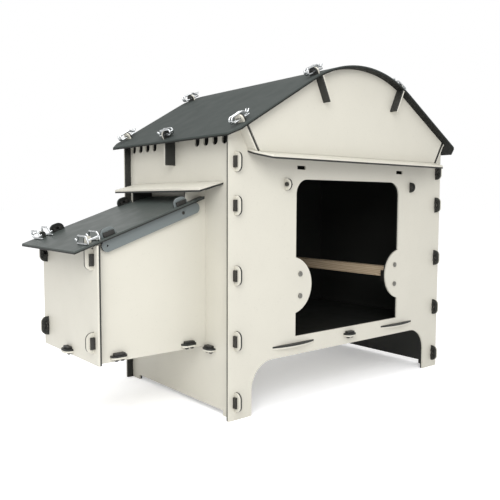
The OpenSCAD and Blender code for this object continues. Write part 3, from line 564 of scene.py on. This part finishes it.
class CoopWire(bpy.types.PropertyGroup):
    """Sizes of the spring wire clips on the roof and the lid."""

    wire_diameter: FloatProperty(
        name="Wire", description="Diameter of the spring wire", unit="LENGTH",
        default=4.2 * MM, min=2 * MM, max=4.4 * MM)
    wire_back: FloatProperty(
        name="Closed end", description="Distance of the closed bend from the tab", unit="LENGTH",
        default=20 * MM, min=15 * MM, max=24 * MM)
    wire_front: FloatProperty(
        name="Open end", description="Distance of the flared tips from the tab", unit="LENGTH",
        default=29 * MM, min=24 * MM, max=32 * MM)
    wire_rise: FloatProperty(
        name="Rise", description="Height of the upper legs over the sheet", unit="LENGTH",
        default=20 * MM, min=16 * MM, max=24 * MM)
    roof_gap: FloatProperty(
        name="Roof clip spread", description="Half the distance between a roof clip's hairpins",
        unit="LENGTH", default=4.5 * MM, min=3 * MM, max=6 * MM)
    roof_low: FloatProperty(
        name="Roof clip low leg", description="Height of a roof clip's low legs", unit="LENGTH",
        default=7 * MM, min=4 * MM, max=9 * MM)
    lid_gap: FloatProperty(
        name="Lid clip spread", description="Half the distance between a lid clip's hairpins",
        unit="LENGTH", default=13.2 * MM, min=12 * MM, max=16 * MM)
    lid_low: FloatProperty(
        name="Lid clip low leg", description="Height of a lid clip's low legs", unit="LENGTH",
        default=2.35 * MM, min=2 * MM, max=6 * MM)


class CoopStudio(bpy.types.PropertyGroup):
    """Floor, light and camera."""

    floor: FloatVectorProperty(
        name="Floor", description="Colour of the studio floor", subtype="COLOR",
        default=linear("#FDFDFE")[:3], min=0, max=1)
    glow: FloatProperty(
        name="Floor glow", description="Extra light of the paper floor, for the camera only",
        default=0.3, min=0, max=1)
    sky: FloatProperty(
        name="Sky", description="Strength of the even white light on the coop", default=0.75,
        min=0, max=4)
    key: FloatProperty(
        name="Key light", description="Power of the large front light in watts", default=46,
        min=0, max=2000)
    top: FloatProperty(
        name="Top light", description="Power of the large overhead light in watts", default=42,
        min=0, max=2000)
    key_size: FloatProperty(
        name="Key light size", description="Side of the square front light", unit="LENGTH",
        default=1.6, min=0.2, max=4)
    top_size: FloatProperty(
        name="Top light size", description="Side of the square overhead light", unit="LENGTH",
        default=2.0, min=0.2, max=4)
    key_at: FloatVectorProperty(
        name="Key light place", description="Place of the front light", subtype="TRANSLATION",
        unit="LENGTH", default=(-1.7, -1.9, 1.7))
    top_at: FloatVectorProperty(
        name="Top light place", description="Place of the overhead light", subtype="TRANSLATION",
        unit="LENGTH", default=(-0.6, -0.2, 3.0))
    lens: FloatProperty(
        name="Lens", description="Focal length in millimetres on a 36 mm sensor", default=45.24,
        min=20, max=120)
    camera_at: FloatVectorProperty(
        name="Camera", description="Place of the camera", subtype="TRANSLATION", unit="LENGTH",
        default=(-1.0980, -1.3377, 0.4990))
    heading: FloatProperty(
        name="Heading", description="Turn of the view from the rear towards the right",
        subtype="ANGLE", default=math.radians(39.56))
    pitch: FloatProperty(
        name="Pitch", description="Tilt of the view above the horizon", subtype="ANGLE",
        default=math.radians(-4.45))
    roll: FloatProperty(
        name="Roll", description="Turn of the picture about the line of sight", subtype="ANGLE",
        default=math.radians(-0.19))


# ---- Operators ----


class COOP_OT_camera(bpy.types.Operator):
    """Set the camera that looks at the front and the nest box"""

    bl_idname = "coop.camera"
    bl_label = "Camera"

    def execute(self, context):
        look = context.scene.coop_studio
        data = bpy.data.cameras.new("camera")
        data.lens = look.lens
        data.sensor_width = 36
        camera = bpy.data.objects.new("camera", data)
        ahead = Vector((math.sin(look.heading) * math.cos(look.pitch),
                        math.cos(look.heading) * math.cos(look.pitch), math.sin(look.pitch)))
        level = ahead.to_track_quat("-Z", "Y")
        camera.rotation_mode = "QUATERNION"
        camera.rotation_quaternion = Quaternion(ahead, look.roll) @ level
        camera.location = look.camera_at
        context.scene.collection.objects.link(camera)
        context.scene.camera = camera
        return {"FINISHED"}


class COOP_OT_cream_boards(bpy.types.Operator):
    """Finish the cream boards of the house and the nest box"""

    bl_idname = "coop.cream_boards"
    bl_label = "Cream boards"

    def execute(self, context):
        look = context.scene.coop_finishes
        for node, towards in CREAM_BOARDS.items():
            normal, low, high = main_face(node, towards)
            finish = board(f"co-extruded HDPE board, cream {node}", rgba(look.cream),
                           rgba(look.core), high - low, flat_depth(normal, (low + high) / 2),
                           gloss=0.42, shine=0.4)
            dress(node, finish)
            ease_edges(node, look.routed_edge)
        return {"FINISHED"}


class COOP_OT_slate_boards(bpy.types.Operator):
    """Finish the bent roof sheet, the nest lid and its skirts"""

    bl_idname = "coop.slate_boards"
    bl_label = "Slate boards"

    def execute(self, context):
        look = context.scene.coop_finishes
        for node, towards in SLATE_BOARDS.items():
            normal, low, high = main_face(node, towards)
            # The skirts take the lighter copy of the slate, which is painted light on their upright
            # faces.
            skin = look.slate if node == "nest_lid" else look.painted_lighter_skirt_slate
            finish = board(f"co-extruded HDPE board, slate {node}", rgba(skin),
                           rgba(look.core), high - low, flat_depth(normal, (low + high) / 2),
                           gloss=0.38, shine=0.3)
            dress(node, finish)
            ease_edges(node, look.routed_edge)
        # The flanks are tangent to the crown, so a flank's height gives the crown's radius.
        normal, low, high = main_face("roof_sheet", LEFT + UP)
        bottom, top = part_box("roof_sheet")
        ridge = (bottom.x + top.x) / 2
        slope = math.atan2(-normal.x, normal.z)
        radius = (high - normal.x * ridge - normal.z * top.z) / (1 - normal.z)
        depth = arched_depth(ridge, slope, top.z - radius, radius - (high - low) / 2)
        finish = board("co-extruded HDPE board, slate roof_sheet", rgba(look.roof_slate),
                       rgba(look.core), high - low, depth, gloss=0.6, shine=0.1)
        dress("roof_sheet", finish)
        ease_edges("roof_sheet", look.routed_edge)
        return {"FINISHED"}


class COOP_OT_mouldings(bpy.types.Operator):
    """Finish the push-in clips, perch brackets and pins"""

    bl_idname = "coop.mouldings"
    bl_label = "Mouldings"

    def execute(self, context):
        look = context.scene.coop_finishes
        finish = moulded_nylon("injection-moulded nylon, black", rgba(look.nylon))
        for node in MOULDINGS:
            dress(node, finish)
            ease_edges(node, look.moulded_edge)
        return {"FINISHED"}


class COOP_OT_screws(bpy.types.Operator):
    """Finish the screws that hold the perch brackets"""

    bl_idname = "coop.screws"
    bl_label = "Screws"

    def execute(self, context):
        look = context.scene.coop_finishes
        finish = plated_steel("zinc-plated steel, dull", rgba(look.screws), gloss=0.42)
        for node in ("front_bracket_screws", "rear_bracket_screws"):
            dress(node, finish)
            ease_edges(node, look.moulded_edge)
        return {"FINISHED"}


class COOP_OT_perches(bpy.types.Operator):
    """Finish the two timber perches"""

    bl_idname = "coop.perches"
    bl_label = "Perches"

    def execute(self, context):
        look = context.scene.coop_finishes
        finish = planed_spruce("planed spruce", rgba(look.spruce), rgba(look.late_wood),
                               rgba(look.knots), look.ring)
        for node in ("left_perch", "right_perch"):
            dress(node, finish)
            ease_edges(node, look.perch_edge, steps=4)
        return {"FINISHED"}


class COOP_OT_wire_clips(bpy.types.Operator):
    """Bend the spring wire clips that hold the roof and the lid"""

    bl_idname = "coop.wire_clips"
    bl_label = "Wire clips"

    def execute(self, context):
        look = context.scene.coop_wire
        finish = plated_steel("drawn spring steel wire, bright",
                              rgba(context.scene.coop_finishes.steel), gloss=0.16)
        self.roof(look, finish)
        self.lid(look, finish)
        return {"FINISHED"}

    def roof(self, look, finish):
        """A clip on every roof tab. Its X runs uphill on a cheek or a purlin."""
        tabs = {}
        for node in CREAM_BOARDS:
            if node.endswith(("cheek", "purlin")):
                uphill = main_face(node, UP)[0]
                tabs[node] = (uphill, uphill.cross(REAR) * (1 if uphill.x > 0 else -1))
            elif node.endswith("eave_bracket"):
                side = LEFT if node.startswith("left") else RIGHT
                tabs[node] = (REAR, main_face("roof_sheet", side + UP)[0])
        mesh = bmesh.new()
        for points in islands("roof_clips"):
            middle = middle_of(points)
            nearest = min(tabs, key=lambda node: self.reach(middle, node))
            turn = turned(*tabs[nearest])
            place = settled(turn, look.roof_gap, look.roof_low, look, points)
            wire_clip(mesh, look.roof_gap, look.roof_low, look, place)
        finish_piece("roof_wire_clips", mesh, finish, "house", "roof_clips")

    def lid(self, look, finish):
        """A clip astride each lock ear, with its closed end outwards."""
        up = main_face("nest_lid", UP)[0]
        centre = middle_of(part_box("nest_lid"))
        mesh = bmesh.new()
        for points in islands("lid_clips"):
            inwards = REAR if middle_of(points).y < centre.y else FRONT
            place = settled(turned(inwards, up), look.lid_gap, look.lid_low, look, points)
            wire_clip(mesh, look.lid_gap, look.lid_low, look, place)
        finish_piece("lid_wire_clips", mesh, finish, "nest_lid_body", "lid_clips")

    @staticmethod
    def reach(point, node):
        """How far a point lies outside a node's box."""
        low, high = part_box(node)
        return Vector([max(a - p, 0, p - b) for a, p, b in zip(low, point, high)]).length


class COOP_OT_studio(bpy.types.Operator):
    """Set the pale floor and the soft studio light"""

    bl_idname = "coop.studio"
    bl_label = "Studio"

    def execute(self, context):
        look = context.scene.coop_studio
        self.floor(context, look)
        self.sky(context, look)
        self.softbox(context, "key_light", look.key, look.key_size, look.key_at, KEY_TARGET)
        self.softbox(context, "top_light", look.top, look.top_size, look.top_at, TOP_TARGET)
        context.scene.view_settings.view_transform = "Standard"
        return {"FINISHED"}

    def floor(self, context, look):
        """A wide floor of matt paper, which glows a little for the camera only."""
        mesh = bmesh.new()
        bmesh.ops.create_circle(mesh, cap_ends=True, segments=96, radius=FLOOR_RADIUS)
        data = bpy.data.meshes.new("floor")
        mesh.to_mesh(data)
        mesh.free()
        paper, tree, shader = new_material("matt studio paper", **{
            "Roughness": 0.9, "Emission Color": rgba(look.floor)})
        where = add(tree, "ShaderNodeTexCoord").outputs["Object"]
        pale = rgba(look.floor)
        clouds = noise(tree, where, 600 * MM, 2.0)
        tone = blend_colours(tree, clouds, pale, [c * 0.99 for c in pale[:3]] + [1.0])
        tree.links.new(tone, shader.inputs["Base Color"])
        seen = add(tree, "ShaderNodeLightPath").outputs["Is Camera Ray"]
        glow = arithmetic(tree, "MULTIPLY", seen, look.glow)
        tree.links.new(glow, shader.inputs["Emission Strength"])
        data.materials.append(paper)
        ground = bpy.data.objects.new("floor", data)
        context.scene.collection.objects.link(ground)

    def sky(self, context, look):
        """Even light from all sides, which the camera sees as plain white."""
        world = bpy.data.worlds.new("studio")
        world.use_nodes = True
        tree = world.node_tree
        backdrop = tree.nodes["Background"]
        backdrop.inputs["Color"].default_value = (1, 1, 1, 1)
        seen = add(tree, "ShaderNodeLightPath").outputs["Is Camera Ray"]
        strength = remap(tree, seen, 0.0, 1.0, look.sky, 1.0)
        tree.links.new(strength, backdrop.inputs["Strength"])
        context.scene.world = world

    def softbox(self, context, name, power, size, place, target):
        """A square area light that faces a target."""
        data = bpy.data.lights.new(name, "AREA")
        data.energy = power
        data.size = size
        lamp = bpy.data.objects.new(name, data)
        lamp.location = place
        ahead = Vector(target) - Vector(place)
        lamp.rotation_euler = ahead.to_track_quat("-Z", "Y").to_euler()
        context.scene.collection.objects.link(lamp)


OPERATORS = (
    COOP_OT_camera,
    COOP_OT_cream_boards,
    COOP_OT_slate_boards,
    COOP_OT_mouldings,
    COOP_OT_screws,
    COOP_OT_perches,
    COOP_OT_wire_clips,
    COOP_OT_studio,
)
SETTINGS = {"coop_finishes": CoopFinishes, "coop_wire": CoopWire, "coop_studio": CoopStudio}


class COOP_PT_panel(bpy.types.Panel):
    """Lists the coop's pieces and settings"""

    bl_idname = "COOP_PT_panel"
    bl_label = "Hen coop"
    bl_space_type = "VIEW_3D"
    bl_region_type = "UI"
    bl_category = "Hen coop"

    def draw(self, context):
        for operator in OPERATORS:
            self.layout.operator(operator.bl_idname)
        for name, group in SETTINGS.items():
            box = self.layout.box()
            for setting in group.__annotations__:
                box.prop(getattr(context.scene, name), setting)


def register():
    """Registers the settings, operators and panel."""
    for item in (*SETTINGS.values(), *OPERATORS, COOP_PT_panel):
        bpy.utils.register_class(item)
    for name, group in SETTINGS.items():
        setattr(bpy.types.Scene, name, PointerProperty(type=group))


def unregister():
    """Removes what register added."""
    for name in SETTINGS:
        delattr(bpy.types.Scene, name)
    for item in reversed((*SETTINGS.values(), *OPERATORS, COOP_PT_panel)):
        bpy.utils.unregister_class(item)


def main():
    """Builds everything in order."""
    register()
    for operator in OPERATORS:
        group, name = operator.bl_idname.split(".")
        getattr(getattr(bpy.ops, group), name)()


if __name__ == "__main__":
    main()
